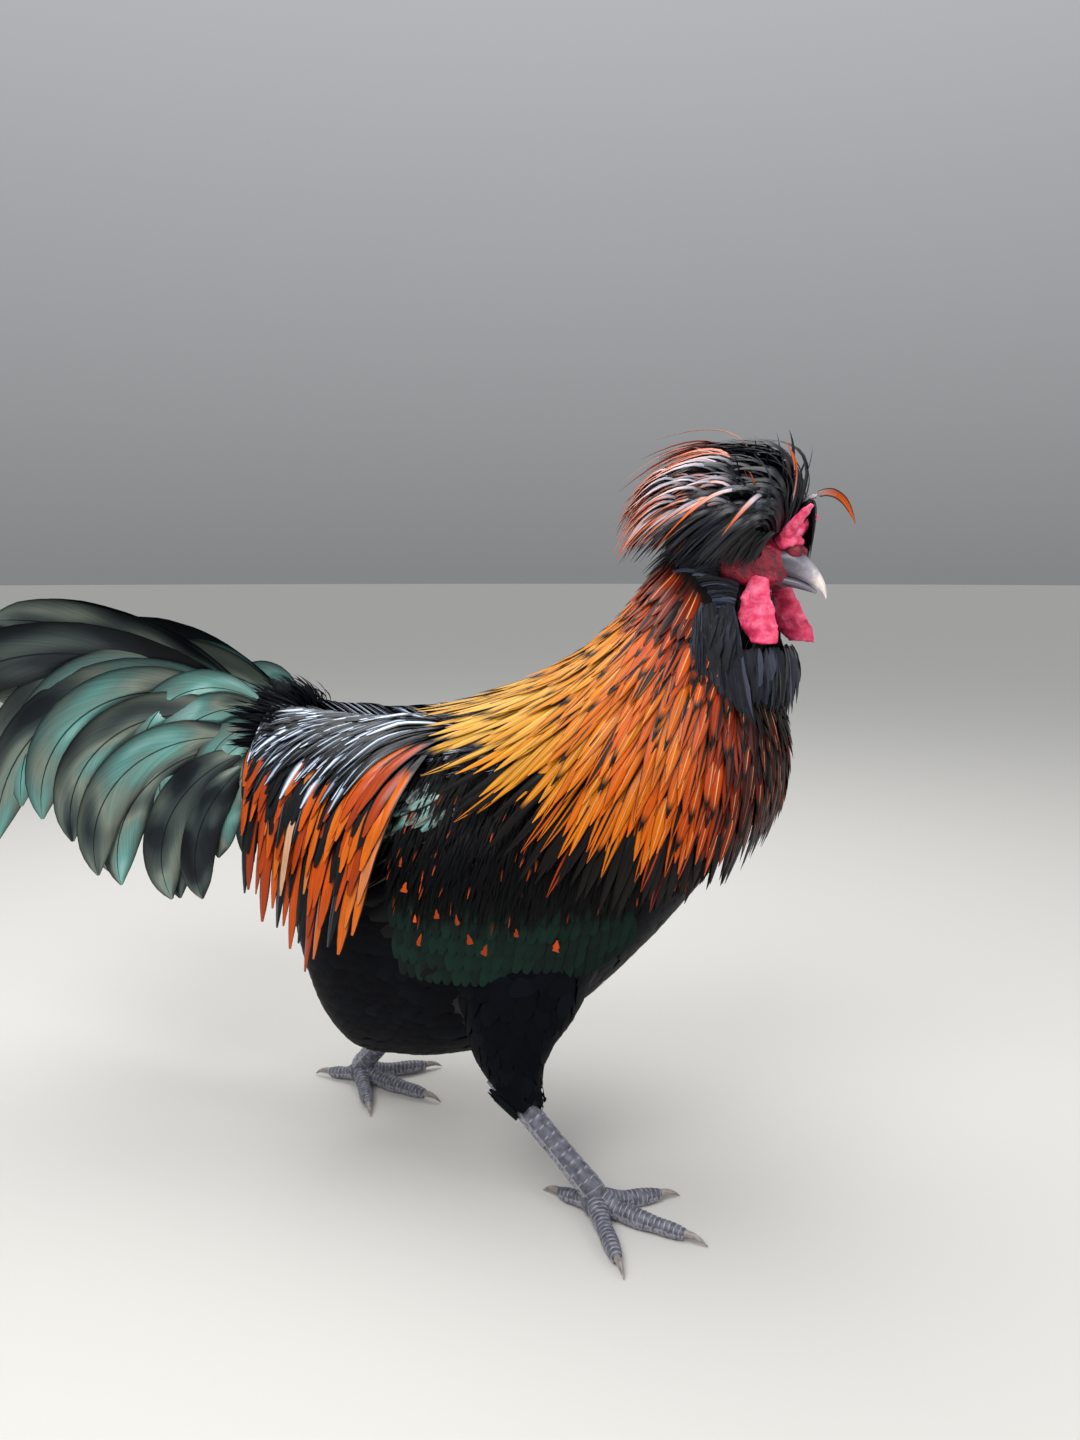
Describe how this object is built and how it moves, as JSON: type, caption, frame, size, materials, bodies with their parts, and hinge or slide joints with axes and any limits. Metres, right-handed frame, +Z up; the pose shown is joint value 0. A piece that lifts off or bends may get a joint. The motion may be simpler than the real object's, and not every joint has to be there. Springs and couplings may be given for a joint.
{
  "type": "polish crested cockerel model",
  "caption": "Life-size still model of a walking crested cockerel with a round feather crest, horned comb, beard, long orange hackles, black body and arching green tail feathers.",
  "frame": {"origin": "on the floor, under the middle of the right foot's sole", "axes": "+X the way the bird walks, +Y towards its left side, +Z up"},
  "size_m": [0.6402, 0.2122, 0.4599],
  "materials": {
    "black_plumage": "smooth black feathers with a faint blue gloss",
    "crest_plumage": "black crest feathers with a grey sheen",
    "orange_plumage": "glossy orange hackles with black centre streaks",
    "saddle_plumage": "glossy black feathers with orange edges and tips",
    "green_plumage": "iridescent beetle-green tail feathers",
    "face_skin": "bare wrinkled red skin",
    "comb_skin": "fleshy red skin with a fine grain",
    "beak_horn": "slate-blue horn with a pale tip",
    "claw_horn": "pale smooth horn",
    "shank_scales": "slate-blue scales with light edges",
    "eye": "wet orange eye with a black pupil"
  },
  "bodies": {
    "root": {"torso": "black_plumage", "thigh_right": "black_plumage", "thigh_left": "black_plumage", "wing_right": "black_plumage", "wing_left": "black_plumage", "crest": "crest_plumage", "beard": "black_plumage", "neck": "orange_plumage", "saddle_right": "saddle_plumage", "saddle_left": "saddle_plumage", "tail": "green_plumage", "sickles_right": "green_plumage", "sickles_left": "green_plumage", "head": "face_skin", "comb": "comb_skin", "wattle_right": "comb_skin", "wattle_left": "comb_skin", "beak_upper": "beak_horn", "beak_lower": "beak_horn", "eye_right": "eye", "eye_left": "eye", "shank_right": "shank_scales", "shank_left": "shank_scales", "foot_right": "shank_scales", "foot_left": "shank_scales", "claw_right_outer": "claw_horn", "claw_right_middle": "claw_horn", "claw_right_inner": "claw_horn", "claw_right_hind": "claw_horn", "claw_left_outer": "claw_horn", "claw_left_middle": "claw_horn", "claw_left_inner": "claw_horn", "claw_left_hind": "claw_horn"}
  },
  "joints": []
}
